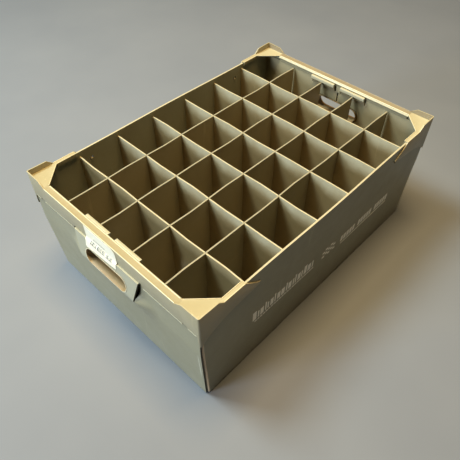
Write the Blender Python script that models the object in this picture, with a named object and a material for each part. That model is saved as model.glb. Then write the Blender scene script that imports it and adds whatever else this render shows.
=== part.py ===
"""Glassware storage crate: fluted plastic sheet body, moulded end frames, lift-out cell dividers.

Frame: origin at the centre of the footprint, X along the length, Y along the width, Z up.
The left end (-X) carries the label. Both ends are the same parts, turned half a turn.
"""
import math

import bmesh
import bpy
from mathutils import Vector

MM = 0.001

# ---- driving dimensions, in millimetres ----
FRAME_LENGTH = 600.0        # over the moulded end frames
FRAME_WIDTH = 400.0
FRAME_TOP = 226.0           # flat ledge that a crate stacked above stands on
UPSTAND_TOP = 237.0         # corner upstands that locate that crate
GAP = 0.3                   # clearance between pieces that touch
SHEET = 3.0                 # twin-wall sheet of the body
DIVIDER = 2.4               # thinner sheet of the dividers
DIVIDER_TOP = 214.0
CELLS_LONG = 7
CELLS_WIDE = 5
CELL_PITCH_X = 82.3
CELL_PITCH_Y = 76.9
LEAN_TOP = 136.0            # below this height the ends lean inwards
END_LEAN = 8.0              # by this much at the floor
CORNER_TAPER = 2.8          # and the end panels narrow on both sides
END_ZONE = 240.0            # everything farther out than this leans with the ends

# ---- moulded end frame ----
MOULDING = 1.7              # skirt thickness
LEDGE = 2.0                 # ledge thickness
LEDGE_FLAT_X = 289.0        # the flat of the end ledge stops here and turns down
LEDGE_INNER_X = 285.8       # half distance between the two ledges
LEDGE_DROP = 3.2            # fall of the turned-down edge
LEDGE_EDGE = 1.2            # height of its end face
LIP = 1.3                   # inner lip thickness
LIP_X = 287.4               # inner face of the end lip, set back under the turned-down edge
LIP_DEPTH = 10.0            # below the ledge's top face
ARM_LIP_DEPTH = 7.0
ARM_INNER_Y = 192.2
ARM_END_X = 212.0           # the arms along the long walls stop here
ARM_END_CORNER = 1.0
GUSSET = 34.0               # leg of the corner triangle, along X and along Y
SKIRT_BOTTOM = 190.0        # lower edge of the end skirt
SKIRT_MIDDLE = 198.0        # and of its middle, above the tongue
SKIRT_MIDDLE_HALF = 81.0
SKIRT_STEP = 2.0            # slant between those two
SKIRT_CORNER = 167.0        # lowest point of the side skirt, at the corner
SKIRT_DROP = ((5.0, 0.0), (2.0, 18.0))  # from the corner, and below the end skirt's lower edge
SKIRT_TIP_X = 181.0         # point of the side skirt
SKIRT_CATCH_Y = 171.5       # small cut-out in the end skirt's lower edge
SKIRT_CATCH_HALF = 4.5
SKIRT_CATCH_HEIGHT = 4.0
END_UPSTAND = (33.0, 14.0)  # length along the end, then its ramp
SIDE_UPSTAND = (36.0, 11.0)
UPSTAND_FALL = 1.2          # the upstand's top falls by this much along its length
SIDE_SKIRT_EDGE = (         # lower edge: distance from the corner, height
    (0.0, SKIRT_CORNER), (4.0, SKIRT_CORNER), (20.0, 179.0), (44.0, 188.5), (77.0, 193.5),
)
SKIRT_TIP = ((0.0, 197.4), (-0.8, 202.0), (6.0, 205.0))     # inwards from the point, and height
HOOK_X = 184.5
HOOK_Z = 198.4
HOOK_LENGTH = 4.0
HOOK_HEIGHT = 2.4
HOOK_BARB = 2.2             # hangs below the shank, inside the wall
HOOK_ROOT = 0.8             # the shank starts inside the skirt's thickness
HOOK_SLOT = (8.4, 6.8)      # slot in the wall, along X and Z
HOOK_SLOT_Z = 200.0
CORNER_RADIUS = 3.0

# ---- end walls ----
HOLE_Z = 165.0              # centre of the handhole
HOLE_LENGTH = 100.0
HOLE_HEIGHT = 29.4
GRIP_WALL = 1.7             # wall of the grip that lines the handhole
GRIP_FLANGE_HALF = 62.0
GRIP_FLANGE_RISE = 18.5     # above and below the handhole's centre
GRIP_FLANGE_SHIFT = 1.0     # the flange lies this far out, in the hollow behind the bulge
GRIP_STAND_OFF = 0.4        # the grip's rim stands this far out of the tongue
GRIP_END = 0.2              # and stops short of the inner panel's face
INNER_HOLE = (112.0, 36.0)  # opening of the inner panel, larger than the grip
TONGUE_TOP = 197.0          # free top edge of the tongue, just below the skirt's middle
TONGUE_TOP_HALF = 77.0
TONGUE_FOLD = 152.0         # fold along the handhole's lower edge
TONGUE_FOLD_HALF = 66.0
TONGUE_SLIT = 1.6
SLIT_BOTTOM = 148.0
BULGE = 11.5                # outward bow at the fold
TOP_BULGE = 4.7             # outward bow left at the tongue's top edge
BULGE_BOTTOM = 108.0        # the panel below the fold is bowed down to here
BULGE_SIDE = 112.0          # and sideways to here
BULGE_RETURN = 20.0         # beside the tongue the bow dies out in this height
TAB_INNER_Y = 8.0           # two tabs of the inner panel stand inside the lip
TAB_OUTER_Y = 64.5
TAB_BOTTOM = 202.0
TAB_BEND = 12.0             # height of the bend that carries a tab past the lip
TAB_CUT = 1.2               # slit beside a tab
HEM_TOP = 221.6             # a tab's end is folded over inwards
HEM_BOTTOM = 215.2
TAB_SLOT = (28.0, 3.6)      # slot under the hem, over the divider that ends there
CLIP_HALF_WIDTH = 5.0
CLIP_BOTTOM = 204.0
CLIP_SLIT_HALF = 1.4
FLAP_LENGTH = 84.0
FLAP_CUT = (6.0, 8.0)       # cut-off bottom corner of a flap: along, up
FLAP_TAPER = (12.0, 20.0)   # cut-off top corner
CORNER_SLOT = 0.8           # open slot between an end panel and the long wall's crease
CREASE_RADIUS = 2.6         # of the long walls' vertical edges
END_SETBACK = 1.2           # the end panels' cut edges lie inside the long walls' faces

# ---- label ----
LABEL_Y = (-28.0, 47.0)
LABEL_TOP = 225.3
LABEL_BOTTOM = (187.5, 181.5)   # at its front side and at its rear side
LABEL_CORNER = 10.0         # radius of its upper front corner
LABEL_THICKNESS = 0.4

# ---- values worked out from them ----
HALF_LENGTH = FRAME_LENGTH / 2
HALF_WIDTH = FRAME_WIDTH / 2
BODY_X = HALF_LENGTH - MOULDING - GAP           # outer face of the outer end panels
BODY_Y = HALF_WIDTH - MOULDING - GAP            # outer face of the long walls
END_INNER_FACE = BODY_X - SHEET
FLAP_X = END_INNER_FACE - GAP                   # outer face of the tucked flaps
INNER_PANEL_X = FLAP_X - SHEET - GAP            # outer face of the inner end panels
INNER_FACE_X = INNER_PANEL_X - SHEET
INNER_FACE_Y = BODY_Y - SHEET
FLOOR_TOP = SHEET
STANDING = FLOOR_TOP + GAP                      # where pieces that stand on the floor start
PANEL_TOP = FRAME_TOP - LEDGE - GAP
INNER_PANEL_TOP = FRAME_TOP - LIP_DEPTH - GAP   # the inner end panels stop below the lip
TAB_X = LEDGE_INNER_X - GAP                     # outer face of the tabs' upper ends
TAB_SHIFT = INNER_PANEL_X - TAB_X
HEM_X = TAB_X - 2 * SHEET                       # inner face of their folded hems
DIVIDER_MIDDLE = (STANDING + DIVIDER_TOP) / 2
DIVIDER_SLOT = DIVIDER / 2 + 0.35               # half width of the dividers' slots
LONG_HALF = LEDGE_INNER_X - 0.5                 # long dividers at the sides
MIDDLE_LONG_HALF = HEM_X - GAP                  # those that end at the tabs
SHORT_HALF = INNER_FACE_Y - 0.5

SHEET_COLOUR = (0.235, 0.230, 0.168)
MOULDING_COLOUR = (0.300, 0.265, 0.165)
LABEL_COLOUR = (0.870, 0.860, 0.800)


def clear_scene():
    for old in list(bpy.data.objects):
        bpy.data.objects.remove(old, do_unlink=True)


def plastic(name, colour, roughness):
    """Each piece has its own material, so that one piece can be recoloured alone."""
    material = bpy.data.materials.new(name + "_material")
    material.use_nodes = True
    shader = material.node_tree.nodes["Principled BSDF"]
    shader.inputs["Base Color"].default_value = (*colour, 1.0)
    shader.inputs["Roughness"].default_value = roughness
    shader.inputs["Metallic"].default_value = 0.0
    return material


def extruded(outline, axis, low, high):
    """Closed mesh: a flat outline pushed from low to high along an axis.

    The outline's two coordinates are (Y, Z) for axis X, (X, Z) for Y and (X, Y) for Z.
    """
    place = {
        "X": lambda a, b, c: Vector((c, a, b)),
        "Y": lambda a, b, c: Vector((a, c, b)),
        "Z": lambda a, b, c: Vector((a, b, c)),
    }[axis]
    mesh = bmesh.new()
    near = [mesh.verts.new(place(a, b, low) * MM) for a, b in outline]
    far = [mesh.verts.new(place(a, b, high) * MM) for a, b in outline]
    mesh.faces.new(near)
    mesh.faces.new(list(reversed(far)))
    count = len(outline)
    for i in range(count):
        j = (i + 1) % count
        mesh.faces.new((near[j], near[i], far[i], far[j]))
    bmesh.ops.recalc_face_normals(mesh, faces=mesh.faces)
    return mesh


def block(low, high):
    """Closed box mesh between two corners."""
    outline = [(low[0], low[1]), (high[0], low[1]), (high[0], high[1]), (low[0], high[1])]
    return extruded(outline, "Z", low[2], high[2])


def to_object(name, mesh):
    data = bpy.data.meshes.new(name)
    mesh.to_mesh(data)
    mesh.free()
    item = bpy.data.objects.new(name, data)
    bpy.context.scene.collection.objects.link(item)
    return item


def combine(item, mesh, operation):
    """Join a second closed mesh to an object, cut it away, or keep what they share."""
    tool = to_object("tool", mesh)
    modifier = item.modifiers.new("combine", "BOOLEAN")
    modifier.operation = operation
    modifier.solver = "EXACT"
    modifier.object = tool
    depsgraph = bpy.context.evaluated_depsgraph_get()
    result = bpy.data.meshes.new_from_object(item.evaluated_get(depsgraph))
    item.modifiers.clear()
    item.data = result
    bpy.data.objects.remove(tool, do_unlink=True)


def finish_piece(item, colour, roughness):
    item.data.materials.clear()
    item.data.materials.append(plastic(item.name, colour, roughness))
    return item


def turned_copy(item, name, colour, roughness):
    """The same moulding at the other end: half a turn about the crate's middle."""
    other = bpy.data.objects.new(name, item.data.copy())
    bpy.context.scene.collection.objects.link(other)
    other.rotation_euler = (0.0, 0.0, math.pi)
    return finish_piece(other, colour, roughness)


def arc(centre, radius, start, end, steps):
    """Points of an arc, with its angles in degrees."""
    points = []
    for i in range(steps + 1):
        angle = math.radians(start + (end - start) * i / steps)
        points.append((centre[0] + radius * math.cos(angle), centre[1] + radius * math.sin(angle)))
    return points


def stadium(length, height, centre_z, steps=10):
    """Slot outline with round ends, in (Y, Z)."""
    radius = height / 2
    reach = length / 2 - radius
    right = arc((reach, centre_z), radius, -90, 90, steps)
    left = arc((-reach, centre_z), radius, 90, 270, steps)
    return right + left


def eased(part):
    """Smooth step from 0 to 1."""
    part = min(max(part, 0.0), 1.0)
    return 0.5 * (1 - math.cos(math.pi * part))


def tongue_half(z):
    """Half width of the tongue at height z: it narrows towards the fold."""
    part = (z - TONGUE_FOLD) / (TONGUE_TOP - TONGUE_FOLD)
    return TONGUE_FOLD_HALF + (TONGUE_TOP_HALF - TONGUE_FOLD_HALF) * part


def tongue_bow(z):
    """How far the middle of the outer end panel stands out from its plane at height z."""
    if z <= TONGUE_FOLD:
        return BULGE * eased((z - BULGE_BOTTOM) / (TONGUE_FOLD - BULGE_BOTTOM))
    part = min((z - TONGUE_FOLD) / (TONGUE_TOP - TONGUE_FOLD), 1.0)
    return BULGE + (TOP_BULGE - BULGE) * part


def panel_bow(y, z):
    """The same for any place on the outer end panel."""
    across = abs(y)
    beside_slits = SLIT_BOTTOM < z <= TONGUE_TOP + GAP
    if beside_slits and across <= tongue_half(z) + TONGUE_SLIT / 2:
        return tongue_bow(z)
    side = 1 - eased((across - TONGUE_FOLD_HALF + 6) / (BULGE_SIDE - TONGUE_FOLD_HALF + 6))
    rise = 1 - eased((z - SLIT_BOTTOM) / BULGE_RETURN)
    return tongue_bow(min(z, SLIT_BOTTOM)) * side * rise


def cut_lines(mesh, positions, axis):
    """Cut a mesh's faces along planes across an axis, so that it can bend there."""
    normal = Vector((axis == "X", axis == "Y", axis == "Z"))
    for position in positions:
        geometry = mesh.verts[:] + mesh.edges[:] + mesh.faces[:]
        bmesh.ops.bisect_plane(mesh, geom=geometry, plane_co=normal * position * MM, plane_no=normal)


def lean_in(mesh):
    """Lean the parts of a mesh that lie near the crate's ends inwards, towards the floor."""
    cut_lines(mesh, [LEAN_TOP], "Z")
    for vertex in mesh.verts:
        part = max(0.0, 1 - vertex.co.z / (LEAN_TOP * MM))
        if abs(vertex.co.x) > END_ZONE * MM:
            vertex.co.x -= math.copysign(END_LEAN * MM * part, vertex.co.x)
    return mesh


# ---------------------------------------------------------------- folded sheet body

def make_base():
    reach_x = END_INNER_FACE - GAP
    reach_y = INNER_FACE_Y - GAP
    mesh = block((-reach_x, -reach_y, 0), (reach_x, reach_y, FLOOR_TOP))
    return finish_piece(to_object("base_panel", lean_in(mesh)), SHEET_COLOUR, 0.5)


def make_long_wall(name, side):
    """Long wall with rounded vertical creases and two slots for the frames' hooks."""
    outer = side * BODY_Y
    radius = CREASE_RADIUS
    end = END_INNER_FACE - CORNER_SLOT
    right = arc((end - radius, outer - side * radius), radius, 0, side * 90, 4)
    left = arc((radius - end, outer - side * radius), radius, side * 90, side * 180, 4)
    outline = [(-end, side * INNER_FACE_Y), (end, side * INNER_FACE_Y)] + right + left
    item = to_object(name, lean_in(extruded(outline, "Z", 0, PANEL_TOP)))
    length, height = HOOK_SLOT
    across = sorted((side * HALF_WIDTH, side * (INNER_FACE_Y - 2)))
    for end_sign in (-1, 1):
        middle = end_sign * HOOK_X
        low = (middle - length / 2, across[0], HOOK_SLOT_Z - height / 2)
        high = (middle + length / 2, across[1], HOOK_SLOT_Z + height / 2)
        combine(item, block(low, high), "DIFFERENCE")
    return finish_piece(item, SHEET_COLOUR, 0.5)


def make_flap(name, end_sign, side):
    """Flap folded in from a long wall, between the end wall's two panels."""
    outer = side * (INNER_FACE_Y - GAP)
    inner = side * (INNER_FACE_Y - GAP - FLAP_LENGTH)
    outline = [
        (outer, STANDING), (inner + side * FLAP_CUT[0], STANDING),
        (inner, STANDING + FLAP_CUT[1]), (inner, PANEL_TOP - FLAP_TAPER[1]),
        (inner + side * FLAP_TAPER[0], PANEL_TOP), (outer, PANEL_TOP),
    ]
    faces = sorted((end_sign * FLAP_X, end_sign * (FLAP_X - SHEET)))
    item = to_object(name, lean_in(extruded(outline, "X", faces[0], faces[1])))
    return finish_piece(item, SHEET_COLOUR, 0.5)


def hole_tool(length, height, low_x, high_x):
    """Tool that opens a sheet for the grip."""
    return extruded(stadium(length, height, HOLE_Z), "X", low_x, high_x)


def make_outer_end(name):
    """Outer panel of the left end, bowed out; the tongue above its handhole is cut free."""
    reach = BODY_Y - END_SETBACK
    slit_foot = tongue_half(SLIT_BOTTOM)
    slit_head = tongue_half(TONGUE_TOP) + TONGUE_SLIT
    right = [
        (reach - CORNER_TAPER, 0), (reach, LEAN_TOP), (reach, PANEL_TOP), (slit_head, PANEL_TOP),
        (slit_head, TONGUE_TOP), (slit_foot + TONGUE_SLIT, SLIT_BOTTOM), (slit_foot, SLIT_BOTTOM),
        (TONGUE_TOP_HALF, TONGUE_TOP),
    ]
    left = [(-y, z) for y, z in reversed(right)]
    mesh = lean_in(extruded(right + left, "X", -BODY_X, -END_INNER_FACE))
    rows = 16
    step = (TONGUE_TOP - BULGE_BOTTOM) / rows
    cut_lines(mesh, [BULGE_BOTTOM + step * i for i in range(rows)] + [SLIT_BOTTOM, TONGUE_FOLD], "Z")
    columns = 8
    first = TONGUE_FOLD_HALF - 8
    step = (BULGE_SIDE - first) / columns
    for side in (-1, 1):
        cut_lines(mesh, [side * (first + step * i) for i in range(columns + 1)], "Y")
    for vertex in mesh.verts:
        vertex.co.x -= panel_bow(vertex.co.y / MM, vertex.co.z / MM) * MM
    item = to_object(name, mesh)
    margin = 2 * (GRIP_WALL + GAP)
    tool = hole_tool(HOLE_LENGTH + margin, HOLE_HEIGHT + margin, -HALF_LENGTH - 20, -END_INNER_FACE + 5)
    combine(item, tool, "DIFFERENCE")
    return finish_piece(item, SHEET_COLOUR, 0.5)


def hem_outline():
    """Folded-over end of a tab, in (X, Z): straight sides and a round top."""
    centre = (-TAB_X + SHEET, HEM_TOP - SHEET)
    return [(-HEM_X, HEM_BOTTOM)] + arc(centre, SHEET, 0, 180, 8) + [(-TAB_X, HEM_BOTTOM)]


def make_inner_end(name):
    """Inner panel of the left end, with two hemmed tabs that stand up inside the lip."""
    reach = INNER_FACE_Y - GAP
    top = INNER_PANEL_TOP
    tab_top = HEM_TOP - SHEET
    right = [
        (reach, STANDING), (reach, top), (TAB_OUTER_Y + TAB_CUT, top),
        (TAB_OUTER_Y + TAB_CUT, TAB_BOTTOM), (TAB_OUTER_Y, TAB_BOTTOM), (TAB_OUTER_Y, tab_top),
        (TAB_INNER_Y, tab_top), (TAB_INNER_Y, TAB_BOTTOM), (TAB_INNER_Y - TAB_CUT, TAB_BOTTOM),
        (TAB_INNER_Y - TAB_CUT, CLIP_BOTTOM - GAP),
    ]
    outline = right + [(-y, z) for y, z in reversed(right)]
    mesh = lean_in(extruded(outline, "X", -INNER_PANEL_X, -INNER_FACE_X))
    bends = 4
    cut_lines(mesh, [TAB_BOTTOM + TAB_BEND * (i + 1) / bends for i in range(bends)], "Z")
    for vertex in mesh.verts:
        across = abs(vertex.co.y) / MM
        if TAB_INNER_Y - 0.01 <= across <= TAB_OUTER_Y + 0.01:
            vertex.co.x += TAB_SHIFT * MM * eased((vertex.co.z / MM - TAB_BOTTOM) / TAB_BEND)
    item = to_object(name, mesh)
    through = (-INNER_PANEL_X - 3, -HEM_X + 3)
    for side in (-1, 1):
        across = sorted((side * TAB_INNER_Y, side * TAB_OUTER_Y))
        combine(item, extruded(hem_outline(), "Y", across[0], across[1]), "UNION")
        middle = side * CELL_PITCH_Y / 2
        half = TAB_SLOT[0] / 2
        slot = block((through[0], middle - half, HEM_BOTTOM - TAB_SLOT[1]),
                     (through[1], middle + half, HEM_BOTTOM))
        combine(item, slot, "DIFFERENCE")
    combine(item, hole_tool(*INNER_HOLE, *through), "DIFFERENCE")
    slit = block((through[0], -CLIP_SLIT_HALF, HOLE_Z), (through[1], CLIP_SLIT_HALF, CLIP_BOTTOM + 3))
    combine(item, slit, "DIFFERENCE")
    return finish_piece(item, SHEET_COLOUR, 0.5)


# ---------------------------------------------------------------- mouldings

def gusset_y(x):
    """Y of the left corner triangle's long side at x."""
    return ARM_INNER_Y - GUSSET + LEDGE_INNER_X + x


def ledge_edge():
    """Turned-down inner edge of the end ledge, mitred where it meets the corner triangles."""
    back = -LEDGE_FLAT_X - LEDGE
    foot = FRAME_TOP - LEDGE_DROP
    outline = [
        (back, FRAME_TOP - LEDGE), (back, FRAME_TOP), (-LEDGE_FLAT_X, FRAME_TOP), (-LEDGE_INNER_X, foot),
        (-LEDGE_INNER_X, foot - LEDGE_EDGE), (-LIP_X - LIP, foot - LEDGE_EDGE),
    ]
    mesh = extruded(outline, "Y", -1, 1)
    for vertex in mesh.verts:
        vertex.co.y = math.copysign(gusset_y(vertex.co.x / MM) * MM, vertex.co.y)
    return mesh


def ledge_outline():
    """Plan of the left ledge: end strip, corner triangles and arms."""
    corner = ARM_END_CORNER
    half = [
        (-HALF_LENGTH, HALF_WIDTH), (-ARM_END_X - corner, HALF_WIDTH), (-ARM_END_X, HALF_WIDTH - corner),
        (-ARM_END_X, ARM_INNER_Y), (GUSSET - LEDGE_INNER_X, ARM_INNER_Y),
        (-LEDGE_FLAT_X, gusset_y(-LEDGE_FLAT_X)),
    ]
    return half + [(x, -y) for x, y in reversed(half)]


def upstand_edge(length, ramp):
    """Top edge of an upstand, from the corner along its wall: (distance, height)."""
    return [(0, UPSTAND_TOP), (length, UPSTAND_TOP - UPSTAND_FALL), (length + ramp, FRAME_TOP)]


def end_skirt_outline():
    """End skirt with both upstands, in (Y, Z)."""
    upper = [(HALF_WIDTH - d, z) for d, z in upstand_edge(*END_UPSTAND)]
    catch_low = SKIRT_CATCH_Y - SKIRT_CATCH_HALF
    catch_high = SKIRT_CATCH_Y + SKIRT_CATCH_HALF
    catch_top = SKIRT_BOTTOM + SKIRT_CATCH_HEIGHT
    right = [
        (SKIRT_MIDDLE_HALF, SKIRT_MIDDLE), (SKIRT_MIDDLE_HALF + SKIRT_STEP, SKIRT_BOTTOM),
        (catch_low, SKIRT_BOTTOM), (catch_low, catch_top),
        (catch_high, catch_top), (catch_high, SKIRT_BOTTOM),
    ] + [(HALF_WIDTH - d, SKIRT_BOTTOM - fall) for d, fall in SKIRT_DROP] + [
        (HALF_WIDTH, SKIRT_CORNER),
    ] + upper
    return right + [(-y, z) for y, z in reversed(right)]


def side_skirt_outline():
    """Side skirt, tapering to its hooked tip, with its upstand, in (X, Z)."""
    upper = [(d - HALF_LENGTH, z) for d, z in upstand_edge(*SIDE_UPSTAND)]
    lower = [(d - HALF_LENGTH, z) for d, z in SIDE_SKIRT_EDGE]
    tip = [(-SKIRT_TIP_X - d, z) for d, z in SKIRT_TIP]
    return lower + tip + [(-ARM_END_X, FRAME_TOP)] + list(reversed(upper))


def add_hook(item, side):
    """Hook on the side skirt's tip: a shank through the wall and a barb behind it."""
    low_x = -HOOK_X - HOOK_LENGTH / 2
    high_x = -HOOK_X + HOOK_LENGTH / 2
    inner_y = side * (INNER_FACE_Y - GAP - LIP)
    shank_y = sorted((side * (HALF_WIDTH - HOOK_ROOT), inner_y))
    barb_y = sorted((side * (INNER_FACE_Y - GAP), inner_y))
    top = HOOK_Z + HOOK_HEIGHT / 2
    bottom = HOOK_Z - HOOK_HEIGHT / 2
    combine(item, block((low_x, shank_y[0], bottom), (high_x, shank_y[1], top)), "UNION")
    combine(item, block((low_x, barb_y[0], bottom - HOOK_BARB), (high_x, barb_y[1], top)), "UNION")


def make_end_frame(name):
    """Left stacking frame: ledge, corner triangles, upstands, skirts, lips, clip and hooks."""
    item = to_object(name, extruded(ledge_outline(), "Z", FRAME_TOP - LEDGE, FRAME_TOP))
    combine(item, extruded(end_skirt_outline(), "X", -HALF_LENGTH, MOULDING - HALF_LENGTH), "UNION")
    lip_low = FRAME_TOP - LIP_DEPTH
    lip_high = FRAME_TOP - LEDGE / 2
    combine(item, ledge_edge(), "UNION")
    lip_reach = gusset_y(-LIP_X - LIP)
    end_lip = block((-LIP_X - LIP, -lip_reach, lip_low), (-LIP_X, lip_reach, lip_high - LEDGE_DROP))
    combine(item, end_lip, "UNION")
    for side in (-1, 1):
        wall = sorted((side * HALF_WIDTH, side * (HALF_WIDTH - MOULDING)))
        combine(item, extruded(side_skirt_outline(), "Y", wall[0], wall[1]), "UNION")
        arm = sorted((side * ARM_INNER_Y, side * (ARM_INNER_Y + LIP)))
        low = (GUSSET + 1 - LEDGE_INNER_X, arm[0], FRAME_TOP - ARM_LIP_DEPTH)
        combine(item, block(low, (-ARM_END_X, arm[1], lip_high)), "UNION")
        add_hook(item, side)
    clip = block((-LIP_X - LIP, -CLIP_HALF_WIDTH, CLIP_BOTTOM),
                 (-LIP_X, CLIP_HALF_WIDTH, lip_low + LIP))
    combine(item, clip, "UNION")
    radius = CORNER_RADIUS
    corner = (radius - HALF_LENGTH, HALF_WIDTH - radius)
    rounded = arc(corner, radius, 90, 180, 5)
    envelope = [(-100.0, -HALF_WIDTH), (-100.0, HALF_WIDTH)] + rounded
    envelope += [(x, -y) for x, y in reversed(rounded)]
    combine(item, extruded(envelope, "Z", 0, UPSTAND_TOP + 20), "INTERSECT")
    return finish_piece(item, MOULDING_COLOUR, 0.42)


def make_hand_grip(name):
    """Left grip: a sleeve that lines the handhole, with a flange between the panels."""
    inner_outline = stadium(HOLE_LENGTH, HOLE_HEIGHT, HOLE_Z)
    outer_outline = stadium(HOLE_LENGTH + 2 * GRIP_WALL, HOLE_HEIGHT + 2 * GRIP_WALL, HOLE_Z)
    inside_end = -INNER_FACE_X - GRIP_END
    sleeve = extruded(outer_outline, "X", -BODY_X, inside_end)
    for vertex in sleeve.verts:
        if vertex.co.x < (1 - BODY_X) * MM:
            vertex.co.x = -(BODY_X + tongue_bow(vertex.co.z / MM) + GRIP_STAND_OFF) * MM
    item = to_object(name, sleeve)
    flange = block(
        (-END_INNER_FACE - GRIP_FLANGE_SHIFT, -GRIP_FLANGE_HALF, HOLE_Z - GRIP_FLANGE_RISE),
        (-INNER_PANEL_X - GRIP_FLANGE_SHIFT, GRIP_FLANGE_HALF, HOLE_Z + GRIP_FLANGE_RISE),
    )
    combine(item, flange, "UNION")
    combine(item, extruded(inner_outline, "X", -HALF_LENGTH - 30, inside_end + 5), "DIFFERENCE")
    return finish_piece(item, MOULDING_COLOUR, 0.42)


def label_profile():
    """Label cross-section in (X, Z): down the skirt, over the tongue's edge, down its face."""
    on_skirt = -HALF_LENGTH - GAP
    stand_off = BODY_X + GAP
    face = [(on_skirt, LABEL_TOP), (on_skirt, TONGUE_TOP + 3.5)]
    rows = 5
    bottom = min(LABEL_BOTTOM) - 1
    for i in range(rows + 1):
        z = TONGUE_TOP + GAP + (bottom - TONGUE_TOP - GAP) * i / rows
        face.append((-stand_off - tongue_bow(z), z))
    return face


def make_label():
    """Paper label at the left end, its upper front corner cut round."""
    face = label_profile()
    back = [(x - LABEL_THICKNESS, z) for x, z in reversed(face)]
    item = to_object("label", extruded(face + back, "Y", LABEL_Y[0], LABEL_Y[1]))
    centre = (LABEL_Y[0] + LABEL_CORNER, LABEL_TOP - LABEL_CORNER)
    outline = [(LABEL_Y[1] + 1, LABEL_TOP + 1)] + arc(centre, LABEL_CORNER, 90, 180, 8)
    outline += [(LABEL_Y[0], LABEL_BOTTOM[0]), (LABEL_Y[1] + 1, LABEL_BOTTOM[1])]
    combine(item, extruded(outline, "X", -HALF_LENGTH - 30, -HALF_LENGTH + 5), "INTERSECT")
    return finish_piece(item, LABEL_COLOUR, 0.6)


# ---------------------------------------------------------------- dividers

def spread(count, pitch):
    """Positions of count planes, centred, one pitch apart."""
    return [pitch * (i - (count - 1) / 2) for i in range(count)]


def comb_outline(half, crossings, slots_from_top):
    """Divider outline: a strip with a half-height slot at each crossing divider."""
    low = STANDING
    high = DIVIDER_TOP
    if slots_from_top:
        edge = high
        slot_end = DIVIDER_MIDDLE - GAP
        other = low
    else:
        edge = low
        slot_end = DIVIDER_MIDDLE + GAP
        other = high
    outline = [(-half, other), (-half, edge)]
    for crossing in crossings:
        outline += [(crossing - DIVIDER_SLOT, edge), (crossing - DIVIDER_SLOT, slot_end)]
        outline += [(crossing + DIVIDER_SLOT, slot_end), (crossing + DIVIDER_SLOT, edge)]
    return outline + [(half, edge), (half, other)]


def make_dividers():
    """Short dividers are slotted from the top; long ones drop onto them."""
    at_x = spread(CELLS_LONG - 1, CELL_PITCH_X)
    at_y = spread(CELLS_WIDE - 1, CELL_PITCH_Y)
    grid = bpy.data.objects.new("divider_grid", None)
    bpy.context.scene.collection.objects.link(grid)
    for number, x in enumerate(at_x, 1):
        mesh = extruded(comb_outline(SHORT_HALF, at_y, True), "X", -DIVIDER / 2, DIVIDER / 2)
        item = to_object("short_divider_%d" % number, mesh)
        item.location = (x * MM, 0, 0)
        item.parent = grid
        finish_piece(item, SHEET_COLOUR, 0.5)
    for number, y in enumerate(at_y, 1):
        half = LONG_HALF if abs(y) > TAB_OUTER_Y else MIDDLE_LONG_HALF
        mesh = lean_in(extruded(comb_outline(half, at_x, False), "Y", -DIVIDER / 2, DIVIDER / 2))
        item = to_object("long_divider_%d" % number, mesh)
        item.location = (0, y * MM, 0)
        item.parent = grid
        finish_piece(item, SHEET_COLOUR, 0.5)


def build():
    clear_scene()
    make_base()
    make_long_wall("front_wall", -1)
    make_long_wall("rear_wall", 1)
    for end_name, end_sign in (("left", -1), ("right", 1)):
        for side_name, side in (("front", -1), ("rear", 1)):
            make_flap("flap_%s_%s" % (side_name, end_name), end_sign, side)
    pairs = (
        (make_outer_end, "end_panel", SHEET_COLOUR, 0.5),
        (make_inner_end, "inner_panel", SHEET_COLOUR, 0.5),
        (make_end_frame, "end_frame", MOULDING_COLOUR, 0.42),
        (make_hand_grip, "hand_grip", MOULDING_COLOUR, 0.42),
    )
    for make, kind, colour, roughness in pairs:
        left = make("left_" + kind)
        turned_copy(left, "right_" + kind, colour, roughness)
    make_label()
    make_dividers()


build()
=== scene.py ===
import math

import bmesh
import bpy
from mathutils import Matrix, Vector


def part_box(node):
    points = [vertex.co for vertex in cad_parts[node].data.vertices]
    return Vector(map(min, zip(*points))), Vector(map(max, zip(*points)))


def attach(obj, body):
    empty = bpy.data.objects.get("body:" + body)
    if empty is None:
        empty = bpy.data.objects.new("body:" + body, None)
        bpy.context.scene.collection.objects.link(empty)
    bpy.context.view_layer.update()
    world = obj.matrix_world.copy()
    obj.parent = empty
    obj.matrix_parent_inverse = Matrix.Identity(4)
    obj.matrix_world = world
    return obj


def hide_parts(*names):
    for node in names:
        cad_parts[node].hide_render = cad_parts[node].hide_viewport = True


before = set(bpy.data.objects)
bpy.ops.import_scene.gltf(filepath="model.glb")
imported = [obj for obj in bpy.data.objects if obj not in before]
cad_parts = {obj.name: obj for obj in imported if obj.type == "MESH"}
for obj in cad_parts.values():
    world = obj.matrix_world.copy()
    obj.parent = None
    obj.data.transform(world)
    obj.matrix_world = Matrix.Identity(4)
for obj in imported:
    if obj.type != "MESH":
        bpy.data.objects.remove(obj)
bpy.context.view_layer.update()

MM = 0.001

# ---- camera, at the photographed angle ----
CAMERA_PLACE = Vector((-0.5068, -0.4455, 0.7584))
CAMERA_FORWARD = Vector((0.4884, 0.4578, -0.7429))
CAMERA_RIGHT = Vector((0.6905, -0.7233, 0.0082))
CAMERA_LENS = 38.14

# ---- twin-wall sheet, in millimetres ----
FLUTE = 4.0                 # pitch of the ribs
RIB = 0.6                   # thickness of a rib
SKIN = 0.55                 # thickness of each skin
DIP = 0.07                  # the skins sink by this much between two ribs
DIVIDER_FLUTE = 3.3         # the dividers' thinner sheet
DIVIDER_DIP = 0.075
CELL_DEPTH = 4.0            # how far an open flute can be seen into
END_LEAN = 8.0              # the ends lean inwards by this much at the floor
LEAN_TOP = 136.0
LEAN_FROM = 240.0
WALL_BOW = 1.6              # the long walls' upper edges bow out by this much
WALL_BOW_REACH = 180.0
CREASE = 2.6                # rounding of the folded edges

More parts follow.
